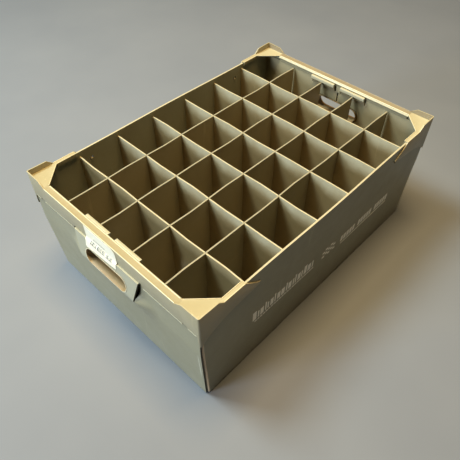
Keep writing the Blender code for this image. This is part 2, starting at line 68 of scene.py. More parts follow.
# ---- end walls ----
TONGUE_TOP = 197.0
TONGUE_TOP_HALF = 77.0
TONGUE_FOLD = 152.0
TONGUE_FOLD_HALF = 66.0
SLIT = 1.6
SLIT_BOTTOM = 148.0
BULGE = 11.5
TOP_BULGE = 4.7
BULGE_BOTTOM = 108.0
BULGE_SIDE = 112.0
BULGE_RETURN = 20.0
PANEL_TAPER = 2.8           # the end panels narrow by this much towards the floor
HOLE_Z = 165.0
HOLE_LENGTH = 104.0         # opening in the sheet, around the grip
HOLE_HEIGHT = 33.4
TAB_Y = (8.0, 64.5)
TAB_CUT = 1.2
TAB_BOTTOM = 202.0
TAB_BEND = 12.0
TAB_SHIFT = 5.9
TAB_SLOT = (28.0, 3.6)      # slot under a tab's hem
HEM_BOTTOM = 215.2
HEM_CRUSH = 0.18            # the flutes show as a ladder where the hem is folded
HEM_SQUARE = 0.45           # the fold is pressed almost square
INNER_HOLE = (112.0, 36.0)
CLIP_BOTTOM = 203.7
CLIP_SLIT_HALF = 1.4
LEDGE_FLAT_X = 289.0        # the ledge's flat turns down from here
LEDGE_INNER_X = 285.8
LEDGE_TOP = 226.0
LEDGE_BOTTOM = 221.0        # below the ledge's turned-down edge
ARM_INNER_Y = 192.2
GUSSET = 34.0
PLATE_Y = ARM_INNER_Y - GUSSET      # the corner plates start here
SKIRT_EDGE_Z = 190.3
HOOK_X = 184.5
HOOK_SLOT_Z = 200.2
HOOK_SLOT = (8.0, 6.4)

# ---- dividers ----
CELL_PITCH_X = 82.3
CELL_PITCH_Y = 76.9
DIVIDER_SLOT = 1.55         # half width of the dividers' slots
DIVIDER_WARP = 1.3


def low(node):
    """Lowest corner of a CAD node, in millimetres."""
    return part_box(node)[0] / MM


def high(node):
    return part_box(node)[1] / MM


WALL_TOP = high("front_wall").z
BODY_Y = high("rear_wall").y
SHEET = BODY_Y - low("rear_wall").y
BODY_X = 298.0
FLOOR_TOP = high("base_panel").z
STANDING = low("left_inner_panel").z
DIVIDER = high("short_divider_1").x - low("short_divider_1").x
DIVIDER_TOP = high("short_divider_1").z
INNER_PANEL_X = 291.4
HEM_TOP = high("left_inner_panel").z
INNER_PANEL_TOP = 215.7


# ---------------------------------------------------------------- small helpers

def eased(part):
    """Smooth step from 0 to 1."""
    part = min(max(part, 0.0), 1.0)
    return 0.5 * (1 - math.cos(math.pi * part))


def lean(z):
    """How far the crate's ends lean in at height z."""
    return END_LEAN * max(0.0, 1 - z / LEAN_TOP)


def spread(count, pitch):
    return [pitch * (i - (count - 1) / 2) for i in range(count)]


def steps(low_end, high_end, count):
    return [low_end + (high_end - low_end) * i / count for i in range(count + 1)]


def to_object(name, mesh, materials, sharp=30):
    """Object from a bmesh, smooth but for its sharp edges."""
    bmesh.ops.recalc_face_normals(mesh, faces=mesh.faces)
    data = bpy.data.meshes.new(name)
    mesh.to_mesh(data)
    mesh.free()
    for material in materials:
        data.materials.append(material)
    data.shade_smooth()
    data.set_sharp_from_angle(angle=math.radians(sharp))
    item = bpy.data.objects.new(name, data)
    bpy.context.scene.collection.objects.link(item)
    return item


def evaluated(item):
    """Replace an object's mesh by what its modifiers make of it."""
    depsgraph = bpy.context.evaluated_depsgraph_get()
    result = bpy.data.meshes.new_from_object(item.evaluated_get(depsgraph))
    item.modifiers.clear()
    item.data = result


def cut(item, outline, axis, low_end, high_end, material=1):
    """Cut a prism out of an object; the cut faces take one of its materials."""
    tool = to_object("tool", prism(outline, axis, low_end, high_end), item.data.materials)
    for face in tool.data.polygons:
        face.material_index = material
    modifier = item.modifiers.new("cut", "BOOLEAN")
    modifier.operation = "DIFFERENCE"
    modifier.solver = "EXACT"
    modifier.object = tool
    evaluated(item)
    bpy.data.objects.remove(tool, do_unlink=True)
    item.data.set_sharp_from_angle(angle=math.radians(30))


def prism(outline, axis, low_end, high_end):
    """Closed prism: outline in (Y, Z) along X, (X, Z) along Y or (X, Y) along Z."""
    place = {
        "X": lambda a, b, c: Vector((c, a, b)),
        "Y": lambda a, b, c: Vector((a, c, b)),
        "Z": lambda a, b, c: Vector((a, b, c)),
    }[axis]
    mesh = bmesh.new()
    near = [mesh.verts.new(place(a, b, low_end) * MM) for a, b in outline]
    far = [mesh.verts.new(place(a, b, high_end) * MM) for a, b in outline]
    mesh.faces.new(near)
    mesh.faces.new(list(reversed(far)))
    for i in range(len(outline)):
        j = (i + 1) % len(outline)
        mesh.faces.new((near[j], near[i], far[i], far[j]))
    bmesh.ops.recalc_face_normals(mesh, faces=mesh.faces)
    return mesh


def rectangle(middle_a, middle_b, size_a, size_b):
    a = (middle_a - size_a / 2, middle_a + size_a / 2)
    b = (middle_b - size_b / 2, middle_b + size_b / 2)
    return [(a[0], b[0]), (a[1], b[0]), (a[1], b[1]), (a[0], b[1])]


def stadium(length, height, centre_z, count=14):
    """Slot outline with round ends, in (Y, Z)."""
    radius = height / 2
    reach = length / 2 - radius
    points = []
    for end in (1, -1):
        for i in range(count + 1):
            angle = math.radians(-90 * end + 180 * i / count)
            points.append((end * reach + radius * math.cos(angle), centre_z + radius * math.sin(angle)))
    return points


def turned(item, name):
    """The same piece at the crate's other end."""
    other = bpy.data.objects.new(name, item.data.copy())
    other.data.transform(Matrix.Rotation(math.pi, 4, "Z"))
    bpy.context.scene.collection.objects.link(other)
    return other


def stand_for(item, node, body):
    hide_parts(node)
    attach(item, body)
    return item


def trim(item, body):
    """Prepare a piece that stands for no CAD node."""
    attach(item, body)
    return item


# ---------------------------------------------------------------- materials

SHEET_GRAIN = 1500
MOULDING_GRAIN = 1100
DOWNWARDS = (1, 1, 0.35)    # how scuffs are drawn out
SIDEWAYS = (0.4, 0.4, 1)
EVENLY = (1, 1, 1)


class Nodes:
    """Short hand for building one material's node tree."""

    def __init__(self, name):
        self.material = bpy.data.materials.new(name)
        self.material.use_nodes = True
        self.tree = self.material.node_tree
        self.shader = self.tree.nodes["Principled BSDF"]
        self.place = self.tree.nodes.new("ShaderNodeTexCoord").outputs["Object"]

    @classmethod
    def of(cls, material):
        """The same for a material that is already built."""
        n = cls.__new__(cls)
        n.material = material
        n.tree = material.node_tree
        n.shader = n.tree.nodes["Principled BSDF"]
        n.place = n.tree.nodes.new("ShaderNodeTexCoord").outputs["Object"]
        return n

    def join(self, source, target):
        self.tree.links.new(source, target)

    def add(self, kind, inputs=(), **settings):
        node = self.tree.nodes.new(kind)
        for key, value in settings.items():
            setattr(node, key, value)
        for key, value in dict(inputs).items():
            if isinstance(value, bpy.types.NodeSocket):
                self.join(value, node.inputs[key])
            else:
                node.inputs[key].default_value = value
        return node

    def noise(self, scale, detail=4.0, roughness=0.55, stretch=(1, 1, 1), distortion=0.0):
        """Noise in metres: scale features per metre, stretched per axis."""
        mapping = self.add("ShaderNodeMapping", {"Vector": self.place, "Scale": stretch})
        return self.add("ShaderNodeTexNoise", {
            "Vector": mapping.outputs[0], "Scale": scale, "Detail": detail,
            "Roughness": roughness, "Distortion": distortion}).outputs["Fac"]

    def ramp(self, value, start, end, low_value=0.0, high_value=1.0):
        return self.add("ShaderNodeMapRange", {
            "Value": value, "From Min": start, "From Max": end,
            "To Min": low_value, "To Max": high_value}).outputs["Result"]

    def mix(self, factor, first, second):
        node = self.add("ShaderNodeMix", data_type="RGBA", blend_type="MIX")
        for socket, value in ((0, factor), (6, first), (7, second)):
            if isinstance(value, bpy.types.NodeSocket):
                self.join(value, node.inputs[socket])
            elif socket:
                node.inputs[socket].default_value = (*value, 1.0)
            else:
                node.inputs[socket].default_value = value
        return node.outputs[2]

    def math(self, operation, first, second=0.0):
        node = self.add("ShaderNodeMath", operation=operation)
        for socket, value in enumerate((first, second)):
            if isinstance(value, bpy.types.NodeSocket):
                self.join(value, node.inputs[socket])
            else:
                node.inputs[socket].default_value = value
        return node.outputs[0]

    def height(self):
        return self.add("ShaderNodeSeparateXYZ", {"Vector": self.place}).outputs["Z"]

    def bump(self, value, strength, distance, under=None):
        node = self.add("ShaderNodeBump", {
            "Strength": strength, "Distance": distance, "Height": value})
        if under is not None:
            self.join(under, node.inputs["Normal"])
        return node.outputs[0]


def plastic(name, colour, light, dark, roughness=0.42, grain=SHEET_GRAIN, scuffing=DOWNWARDS, wear=0.5):
    """Polypropylene: mottled colour, soft scuffs, fine scratches, settled dust and a fine grain."""
    n = Nodes(name)
    cloud = n.noise(7.0, detail=5.0)
    spots = n.noise(160.0, detail=3.0)
    tone = n.mix(n.ramp(cloud, 0.35, 0.68), dark, light)
    tone = n.mix(0.5, colour, tone)
    tone = n.mix(n.ramp(spots, 0.3, 0.7, 0.0, 0.16), tone, tuple(c * 0.78 for c in colour))
    scuffs = n.ramp(n.noise(26.0, detail=6.0, roughness=0.7, stretch=scuffing), 0.60, 0.74)
    tone = n.mix(n.math("MULTIPLY", scuffs, 0.35 * wear), tone, tuple(min(1, c * 1.45) for c in colour))
    cuts = n.noise(90.0, detail=2.0, stretch=(1.0, 1.0, 0.06), distortion=1.2)
    cuts = n.ramp(cuts, 0.705, 0.73)
    tone = n.mix(n.math("MULTIPLY", cuts, 0.4 * wear), tone, tuple(min(1, c * 1.7) for c in colour))
    dust = n.math("MULTIPLY", n.ramp(n.height(), 0.05, 0.0), n.ramp(n.noise(40.0, detail=6.0), 0.35, 0.7))
    tone = n.mix(n.math("MULTIPLY", dust, 0.3), tone, (0.42, 0.39, 0.33))
    n.join(tone, n.shader.inputs["Base Color"])
    finish = n.ramp(n.noise(30.0, detail=5.0), 0.3, 0.7, roughness - 0.07, roughness + 0.08)
    finish = n.math("ADD", finish, n.math("MULTIPLY", scuffs, 0.12))
    finish = n.math("ADD", finish, n.math("MULTIPLY", dust, 0.15))
    n.join(finish, n.shader.inputs["Roughness"])
    fine = n.bump(n.noise(grain, detail=2.0), 0.35, 0.00012)
    worn = n.bump(n.noise(55.0, detail=4.0), 0.25, 0.0006, fine)
    n.join(n.bump(cuts, -0.3, 0.0002, worn), n.shader.inputs["Normal"])
    n.shader.inputs["IOR"].default_value = 1.49
    n.shader.inputs["Specular IOR Level"].default_value = 0.45
    return n.material


def scratched(material, across, low_end, high_end):
    """A long pale scratch down a sheet, at one place across it and between two heights (metres)."""
    n = Nodes.of(material)
    here = n.add("ShaderNodeSeparateXYZ", {"Vector": n.place}).outputs
    wave = n.ramp(n.noise(30.0, detail=2.0), 0.3, 0.7, -0.001, 0.001)
    off = n.math("ABSOLUTE", n.math("ADD", n.math("SUBTRACT", here["Y"], across), wave))
    mask = n.math("MULTIPLY", n.ramp(off, 0.0016, 0.0004), n.ramp(here["Z"], low_end, low_end + 0.02))
    mask = n.math("MULTIPLY", mask, n.ramp(here["Z"], high_end, high_end - 0.02))
    source = n.shader.inputs["Base Color"].links[0].from_socket
    n.join(n.mix(n.math("MULTIPLY", mask, 0.8), source, (0.55, 0.54, 0.46)), n.shader.inputs["Base Color"])


def painted_top_light(material, low_end, high_end, colour):
    """Painted light: paler towards an upper edge, between two heights (metres), for side light that reaches
    only the upper band.
    """
    n = Nodes.of(material)
    uneven = n.ramp(n.noise(24.0, detail=4.0), 0.3, 0.7, -0.008, 0.008)
    part = n.ramp(n.math("ADD", n.height(), uneven), low_end, high_end, 0.0, 0.85)
    source = n.shader.inputs["Base Color"].links[0].from_socket
    n.join(n.mix(part, source, colour), n.shader.inputs["Base Color"])


def cut_edge(name, colour):
    """Freshly cut plastic: paler, with fine saw marks and a little dirt; the paleness is partly the cut
    faces' own colour and partly a painted highlight for light the cut edges catch and let through.
    """
    n = Nodes(name)
    lines = n.noise(420.0, detail=2.0, stretch=(1.0, 1.0, 0.35))
    tone = n.mix(n.ramp(lines, 0.35, 0.65), tuple(c * 0.86 for c in colour), colour)
    dirt = n.ramp(n.noise(45.0, detail=5.0), 0.52, 0.72, 0.0, 0.45)
    tone = n.mix(dirt, tone, tuple(c * 0.62 for c in colour))
    n.join(tone, n.shader.inputs["Base Color"])
    n.join(n.ramp(lines, 0.3, 0.7, 0.42, 0.62), n.shader.inputs["Roughness"])
    n.join(n.bump(lines, 0.5, 0.0002), n.shader.inputs["Normal"])
    return n.material


def paper(name):
    n = Nodes(name)
    fibre = n.noise(900.0, detail=3.0)
    stain = n.noise(38.0, detail=5.0)
    tone = n.mix(n.ramp(stain, 0.45, 0.75), (0.88, 0.83, 0.70), (0.76, 0.71, 0.57))
    tone = n.mix(n.ramp(fibre, 0.3, 0.7, 0.0, 0.12), tone, (0.67, 0.63, 0.53))
    n.join(tone, n.shader.inputs["Base Color"])
    n.join(n.ramp(stain, 0.3, 0.7, 0.45, 0.62), n.shader.inputs["Roughness"])
    crease = n.bump(n.noise(60.0, detail=3.0), 0.3, 0.0008)
    n.join(n.bump(fibre, 0.3, 0.0001, crease), n.shader.inputs["Normal"])
    return n.material


def ink(name, colour, behind, loss):
    """Screen-printed ink, rubbed away in places down to the colour behind."""
    n = Nodes(name)
    rub = n.ramp(n.noise(150.0, detail=6.0, roughness=0.7), 0.52 - loss * 0.2, 0.66 - loss * 0.2)
    tone = n.mix(n.math("MULTIPLY", rub, 0.75), colour, behind)
    n.join(tone, n.shader.inputs["Base Color"])
    n.join(n.ramp(rub, 0.0, 1.0, 0.5, 0.65), n.shader.inputs["Roughness"])
    n.join(n.bump(n.noise(700.0, detail=2.0), 0.3, 0.00008), n.shader.inputs["Normal"])
    return n.material


def floor_surface(name):
    n = Nodes(name)
    cloud = n.noise(3.0, detail=3.0)
    tone = n.mix(n.ramp(cloud, 0.3, 0.7), (0.165, 0.185, 0.235), (0.185, 0.205, 0.255))
    n.join(tone, n.shader.inputs["Base Color"])
    n.shader.inputs["Roughness"].default_value = 0.9
    n.join(n.bump(n.noise(600.0, detail=2.0), 0.2, 0.0003), n.shader.inputs["Normal"])
    return n.material


SHEET_COLOUR = (0.285, 0.270, 0.190)
MOULDING_COLOUR = (0.345, 0.305, 0.205)
EDGE_COLOUR = (0.47, 0.43, 0.31)
# Painted light: the tongue's sheet is paler than the panel's for the extra light its outward-leaning face
# catches from above.
TONGUE_LIT_COLOUR = (0.36, 0.35, 0.27)

sheet = plastic("fluted_sheet", SHEET_COLOUR, (0.31, 0.295, 0.215), (0.255, 0.24, 0.165))
# Painted light and shade: the short dividers' sheet is darker and browner than the long dividers' for the
# shade deep in the cells, and paler near its top edge for the side light on the upper band.
short_sheet_light_and_shade = plastic("short_divider_sheet", (0.30, 0.23, 0.125), (0.325, 0.255, 0.145), (0.26, 0.20, 0.105),
                      0.45, scuffing=SIDEWAYS)
painted_top_light(short_sheet_light_and_shade, 0.188, 0.217, (0.50, 0.47, 0.35))
thin_sheet = plastic("divider_sheet", (0.345, 0.28, 0.165), (0.375, 0.31, 0.19), (0.30, 0.245, 0.14),
                     0.45, scuffing=SIDEWAYS)
end_sheet = plastic("end_sheet", SHEET_COLOUR, (0.31, 0.295, 0.215), (0.255, 0.24, 0.165))
scratched(end_sheet, -0.1905, 0.055, 0.135)
inner_sheet = plastic("inner_sheet", (0.33, 0.285, 0.185), (0.36, 0.315, 0.21), (0.29, 0.25, 0.16))
tongue_sheet_painted_light = plastic("tongue_sheet_painted_light", TONGUE_LIT_COLOUR, (0.39, 0.38, 0.30), (0.33, 0.32, 0.24), wear=0.8)
# Painted highlight: the long walls' folded corner edges take a bright orange-tan colour for the light their
# rounding catches.
crease = plastic("sheet_crease_painted_highlight", (0.62, 0.45, 0.28), (0.66, 0.49, 0.31), (0.54, 0.39, 0.24), 0.40, wear=1.0)
# Painted shade: a near-black sheet colour for the hook slots' insides and the end panels' and tongues' side
# edges, which lie in shade.
painted_shade = plastic("sheet_painted_shade", (0.045, 0.04, 0.03), (0.06, 0.05, 0.04), (0.03, 0.027, 0.02), 0.6, wear=0.2)
moulding = plastic("moulding", MOULDING_COLOUR, (0.375, 0.33, 0.225), (0.31, 0.275, 0.18),
                   0.38, MOULDING_GRAIN, EVENLY, 0.6)
# Painted highlight: a pale moulding colour for the ledge's turned-down inner edge, the tabs' folded hems and
# the thin beads along the skirts' lower edges, where they catch the light.
edge_highlight = plastic("edge_highlight_rim", (0.42, 0.40, 0.30), (0.46, 0.44, 0.335), (0.37, 0.35, 0.26),
                 0.36, MOULDING_GRAIN, EVENLY, 0.8)
# The grip's orange tan is partly its own moulding colour and partly a painted warm bounce light from inside
# the hand-hole.
grip = plastic("grip_moulding", (0.30, 0.205, 0.105), (0.33, 0.23, 0.12), (0.26, 0.175, 0.085),
               0.36, MOULDING_GRAIN, EVENLY, 0.6)
# Painted highlight: a very pale moulding colour for the ledge's rim beads and the grip's outer lip, where
# they catch the light.
rim = plastic("lip_painted_highlight", (0.60, 0.55, 0.40), (0.64, 0.59, 0.44), (0.53, 0.48, 0.34),
              0.34, MOULDING_GRAIN, EVENLY, 0.8)
# Painted shade: the right end's ledge top and outer rim bead take a darker, more orange copy of the moulding
# colour than the left end's.
ledge_shade = plastic("ledge_painted_shade", (0.25, 0.205, 0.135), (0.275, 0.23, 0.155), (0.225, 0.18, 0.115),
              0.38, MOULDING_GRAIN, EVENLY, 0.7)
plate = plastic("corner_plate", (0.39, 0.35, 0.235), (0.43, 0.39, 0.265), (0.35, 0.31, 0.20),
                0.36, MOULDING_GRAIN, EVENLY, 0.8)
edge = cut_edge("cut_edge", EDGE_COLOUR)
# Painted shade: the long dividers' top edges take a darker copy of the cut-edge colour, for light that falls
# off towards the back.
long_edge_painted_shade = cut_edge("long_divider_edge", (0.31, 0.29, 0.215))
label_paper = paper("label_paper")
label_ink = ink("label_ink", (0.03, 0.03, 0.035), (0.5, 0.5, 0.47), 0.0)
wall_ink = ink("wall_ink", (0.97, 0.93, 0.82), SHEET_COLOUR, -0.9)


# ---------------------------------------------------------------- twin-wall sheet

def flutes(marks, pitch=FLUTE):
    """Stations across the flutes: (place, is the middle of a flute). Ribs stand at every mark."""
    stations = []
    for start, end in zip(marks, marks[1:]):
        count = max(1, round((end - start) / pitch))
        step = (end - start) / count
        for i in range(count):
            here = start + i * step
            stations += [(here + RIB / 2, False), (here + step / 2, True), (here + step - RIB / 2, False)]
        stations.append((end, False))
    return [(marks[0], False)] + stations


def fluted(name, stations, rows, thickness, place, present=None, open_ends=(), materials=(sheet, edge),
           side=0, dip=DIP):
    """Twin-wall sheet: skins that dip between the ribs, and open flutes at the named cut ends.

    place(across, along, depth) gives a point in millimetres; present(across, along) says whether
    there is sheet there; rows are the places along the flutes; side is the material of the edges
    that run along the flutes.
    """
    mesh = bmesh.new()
    made = {}

    def vertex(i, j, depth, shift=0.0):
        key = (i, j, depth, shift)
        if key not in made:
            across, middle = stations[i]
            sunk = depth
            if middle and depth in (0.0, thickness):
                sunk = dip if depth == 0.0 else thickness - dip
            made[key] = mesh.verts.new(Vector(place(across, rows[j] + shift, sunk)) * MM)
        return made[key]

    def face(corners, material=0):
        made_face = mesh.faces.new(corners)
        made_face.material_index = material

    def there(i, j):
        if not (0 <= i < len(stations) - 1 and 0 <= j < len(rows) - 1):
            return False
        if present is None:
            return True
        middle = (stations[i][0] + stations[i + 1][0]) / 2
        return present(middle, (rows[j] + rows[j + 1]) / 2)

    def flute(i, j):
        return there(i, j) and (stations[i][1] or stations[i + 1][1])

    def open_end(i, j, row, inward):
        """Close one cell's cut end: an open flute, or the top of a rib."""
        depth = CELL_DEPTH * inward
        skins = (SKIN, thickness - SKIN)
        if flute(i, j):
            for outer, inner in ((0.0, skins[0]), (thickness, skins[1])):
                face((vertex(i, row, outer), vertex(i + 1, row, outer),
                      vertex(i + 1, row, inner), vertex(i, row, inner)), 1)
                face((vertex(i, row, inner), vertex(i + 1, row, inner),
                      vertex(i + 1, row, inner, depth), vertex(i, row, inner, depth)))
            face([vertex(i, row, skins[0], depth), vertex(i + 1, row, skins[0], depth),
                  vertex(i + 1, row, skins[1], depth), vertex(i, row, skins[1], depth)])
            for k in (i, i + 1):
                if not stations[k][1]:
                    face([vertex(k, row, skins[0]), vertex(k, row, skins[1]),
                          vertex(k, row, skins[1], depth), vertex(k, row, skins[0], depth)])
            return
        corners = [vertex(i, row, 0.0), vertex(i + 1, row, 0.0)]
        if flute(i + 1, j):
            corners += [vertex(i + 1, row, skins[0]), vertex(i + 1, row, skins[1])]
        corners += [vertex(i + 1, row, thickness), vertex(i, row, thickness)]
        if flute(i - 1, j):
            corners += [vertex(i, row, skins[1]), vertex(i, row, skins[0])]
        face(corners, 1)

    for i in range(len(stations) - 1):
        for j in range(len(rows) - 1):
            if not there(i, j):
                continue
            for depth in (0.0, thickness):
                face((vertex(i, j, depth), vertex(i + 1, j, depth),
                      vertex(i + 1, j + 1, depth), vertex(i, j + 1, depth)))
            sides = (((i, j), (i, j + 1), (i - 1, j)), ((i + 1, j), (i + 1, j + 1), (i + 1, j)))
            for first, second, beyond in sides:
                if not there(*beyond):
                    face((vertex(*first, 0.0), vertex(*second, 0.0),
                          vertex(*second, thickness), vertex(*first, thickness)), side)
            for row, beyond, inward, end in ((j, j - 1, 1, "low"), (j + 1, j + 1, -1, "high")):
                if there(i, beyond):
                    continue
                if end in open_ends:
                    open_end(i, j, row, inward)
                else:
                    face((vertex(i, row, 0.0), vertex(i + 1, row, 0.0),
                          vertex(i + 1, row, thickness), vertex(i, row, thickness)), 1)
    return to_object(name, mesh, materials)


def leaned(x, z, start=LEAN_FROM, end=292.0):
    """X of a place that moves in with the leaning ends."""
    part = min(max((abs(x) - start) / (end - start), 0.0), 1.0)
    return x - math.copysign(lean(z) * part, x)


# ---------------------------------------------------------------- body

def wall_bow(x, z):
    along = min(abs(x) / WALL_BOW_REACH, 1.0)
    return WALL_BOW * (z / WALL_TOP) * math.cos(math.pi / 2 * along) ** 2


def make_long_wall(name, side):
    """Long wall: upright flutes closed by the top rim, round folded edges and slots for the hooks."""
    end = high("front_wall").x

    def place(x, z, depth):
        turn = max(0.0, abs(x) - (end - CREASE)) / CREASE
        fold = max(0.0, CREASE - z) / CREASE
        share = 1 - depth / SHEET
        sunk = CREASE * (1 - math.sqrt(max(0.0, 1 - turn * turn))) * share
        sunk += CREASE * (1 - math.sqrt(max(0.0, 1 - fold * fold))) * share
        return (leaned(x, z, end=end), side * (BODY_Y + wall_bow(x, z) - depth - sunk), z)

    stations = flutes([CREASE - end, end - CREASE])
    fold = [(end - CREASE * part, False) for part in (0.6, 0.3, 0.1, 0.0)]
    stations = [(-x, middle) for x, middle in reversed(fold)] + stations + fold
    rows = [0, 0.4, 1.0, 1.8, CREASE] + steps(8, WALL_TOP, 12)
    item = fluted(name, stations, rows, SHEET, place, materials=(sheet, edge, crease, painted_shade))
    # The folded ends' faces take the painted crease highlight (material 2).
    for face in item.data.polygons:
        middle = face.center / MM
        if abs(middle.x) > end - lean(middle.z) - CREASE:
            face.material_index = 2
    # The hook slots' cut faces take the near-black painted shade (material 3).
    for end_sign in (-1, 1):
        slot = rectangle(end_sign * HOOK_X, HOOK_SLOT_Z, *HOOK_SLOT)
        across = sorted((side * (BODY_Y + 5), side * (BODY_Y - SHEET - 5)))
        cut(item, slot, "Y", *across, 3)
    return stand_for(item, name, "crate")


def make_base():
    reach = high("base_panel")

    def place(y, x, depth):
        return (leaned(x, 0), y, FLOOR_TOP - depth)

    rows = steps(-reach.x - END_LEAN, reach.x + END_LEAN, 24)
    item = fluted("base", flutes([-reach.y, reach.y]), rows, FLOOR_TOP - 0.05, place,
                  open_ends=("low", "high"))
    stand_for(item, "base_panel", "crate")


def tongue_half(z):
    part = (z - TONGUE_FOLD) / (TONGUE_TOP - TONGUE_FOLD)
    return TONGUE_FOLD_HALF + (TONGUE_TOP_HALF - TONGUE_FOLD_HALF) * part


def tongue_bow(z):
    """How far the end wall's middle stands out at height z."""
    if z <= TONGUE_FOLD:
        return BULGE * eased((z - BULGE_BOTTOM) / (TONGUE_FOLD - BULGE_BOTTOM))
    return BULGE + (TOP_BULGE - BULGE) * min((z - TONGUE_FOLD) / (TONGUE_TOP - TONGUE_FOLD), 1.0)


def panel_bow(y, z):
    across = abs(y) - TONGUE_FOLD_HALF + 6
    side = 1 - eased(across / (BULGE_SIDE - TONGUE_FOLD_HALF + 6))
    rise = 1 - eased((z - SLIT_BOTTOM) / BULGE_RETURN)
    return tongue_bow(min(z, SLIT_BOTTOM)) * side * rise


def make_outer_end():
    """Outer end panel with its window, and the tongue that stands out of it."""
    reach = high("left_end_panel").y

    def panel(y, z, depth):
        narrow = PANEL_TAPER * max(0.0, 1 - z / LEAN_TOP) * (abs(y) / reach) ** 6
        return (-BODY_X - panel_bow(y, z) + lean(z) + depth, y - math.copysign(narrow, y), z)

    def tongue(y, z, depth):
        return (-BODY_X - tongue_bow(z) + depth, y * tongue_half(z) / TONGUE_FOLD_HALF, z)

    rows = [0] + steps(8, BULGE_BOTTOM, 6) + steps(BULGE_BOTTOM, SLIT_BOTTOM, 10)[1:]
    rows += steps(SLIT_BOTTOM, high("left_end_panel").z, 14)[1:]
    # The side edges along the flutes take the near-black painted shade.
    item = fluted("left_end_wall", flutes([-reach, reach]), rows, SHEET, panel,
                  materials=(end_sheet, edge, painted_shade), side=2)
    foot = tongue_half(SLIT_BOTTOM) + SLIT
    head = tongue_half(TONGUE_TOP) + SLIT
    right = [(foot, SLIT_BOTTOM), (head, TONGUE_TOP), (head, WALL_TOP + 10)]
    window = right + [(-y, z) for y, z in reversed(right)]
    cut(item, window, "X", -BODY_X - 20, -BODY_X + 10, 0)
    rows = steps(SLIT_BOTTOM, TONGUE_FOLD, 2) + steps(TONGUE_FOLD, TONGUE_TOP, 10)[1:]
    # The tongue's side edges take the near-black painted shade too.
    flap = fluted("left_tongue", flutes([-TONGUE_FOLD_HALF, TONGUE_FOLD_HALF]), rows, SHEET, tongue,
                  materials=(tongue_sheet_painted_light, edge, painted_shade), side=2)
    cut(flap, stadium(HOLE_LENGTH, HOLE_HEIGHT, HOLE_Z), "X", -BODY_X - 20, -BODY_X + 10)
    for piece, other in ((item, "right_end_wall"), (flap, "right_tongue")):
        copy = turned(piece, other)
        stand_for(piece, "left_end_panel", "crate")
        stand_for(copy, "right_end_panel", "crate")


def make_inner_end():
    """Inner end panel: two tabs stand up inside the frame's lip, with a slit between them."""
    reach = high("left_inner_panel").y
    cuts = [TAB_Y[0] - TAB_CUT, TAB_Y[0], TAB_Y[1], TAB_Y[1] + TAB_CUT]
    marks = [CLIP_SLIT_HALF] + cuts + [reach]
    marks = [-y for y in reversed(marks)] + marks

    def on_tab(y):
        return TAB_Y[0] - 0.01 <= abs(y) <= TAB_Y[1] + 0.01

    fold = HEM_TOP - SHEET
    turn = 4.0

    def place(y, z, depth):
        """Past the fold's start, z runs on round the fold and down the hem."""
        shift = TAB_SHIFT * eased((z - TAB_BOTTOM) / TAB_BEND) if on_tab(y) else 0.0
        outer = -INNER_PANEL_X + lean(z) + shift
        if z <= fold:
            return (outer + depth, y, z)
        radius = max(SHEET - (HEM_CRUSH if depth == DIP else depth), 0.1)
        angle = math.pi * min((z - fold) / turn, 1.0)
        drop = max(z - fold - turn, 0.0)
        out = math.copysign(abs(math.cos(angle)) ** HEM_SQUARE, math.cos(angle))
        up = max(math.sin(angle), 0.0) ** HEM_SQUARE
        return (outer + SHEET - radius * out, y, fold + radius * up - drop)

    def present(y, z):
        if abs(y) < CLIP_SLIT_HALF:
            return z < HOLE_Z
        if on_tab(y):
            return True
        if z > INNER_PANEL_TOP or (z > CLIP_BOTTOM and abs(y) < TAB_Y[0]):
            return False
        return z < TAB_BOTTOM or not cuts[0] < abs(y) < cuts[3]

    rows = [STANDING] + steps(20, LEAN_TOP, 4) + [HOLE_Z, 190, TAB_BOTTOM, CLIP_BOTTOM]
    rows += steps(TAB_BOTTOM + 3, TAB_BOTTOM + TAB_BEND, 4) + [INNER_PANEL_TOP]
    rows += steps(fold, fold + turn, 8) + [fold + turn + fold - HEM_BOTTOM]
    item = fluted("left_inner_wall", flutes(marks), rows, SHEET, place, present, open_ends=("high",),
                  materials=(inner_sheet, edge, edge_highlight))
    # The folded hems take the painted edge highlight (material 2).
    for face in item.data.polygons:
        if face.center.z > (HEM_BOTTOM + 0.1) * MM and face.center.x > (TAB_SHIFT - INNER_PANEL_X) * MM:
            face.material_index = 2
    span = (-INNER_PANEL_X - 3, TAB_SHIFT + SHEET - INNER_PANEL_X + 1)
    cut(item, stadium(*INNER_HOLE, HOLE_Z), "X", *span)
    for side in (-1, 1):
        slot = rectangle(side * CELL_PITCH_Y / 2, HEM_BOTTOM - TAB_SLOT[1] / 2, *TAB_SLOT)
        cut(item, slot, "X", *span)
    copy = turned(item, "right_inner_wall")
    stand_for(item, "left_inner_panel", "crate")
    stand_for(copy, "right_inner_panel", "crate")


# ---------------------------------------------------------------- dividers

def warp(along, edges, number):
    """Small bow of a divider in each cell, still at the slots."""
    for k, (start, end) in enumerate(zip(edges, edges[1:])):
        if start <= along <= end:
            amount = math.sin(2.3 * k + 1.7 * number) * DIVIDER_WARP
            return amount * math.sin(math.pi * (along - start) / (end - start)) ** 2
    return 0.0


def divider_rows(crossings, half):
    """Places along a divider: both edges of every slot and points between."""
    marks = [-half]
    for crossing in crossings:
        marks += [crossing - DIVIDER_SLOT, crossing + DIVIDER_SLOT]
    marks.append(half)
    rows = []
    for k, (start, end) in enumerate(zip(marks, marks[1:])):
        rows += steps(start, end, 4 if k % 2 == 0 else 1)[:-1]
    return rows + [half]


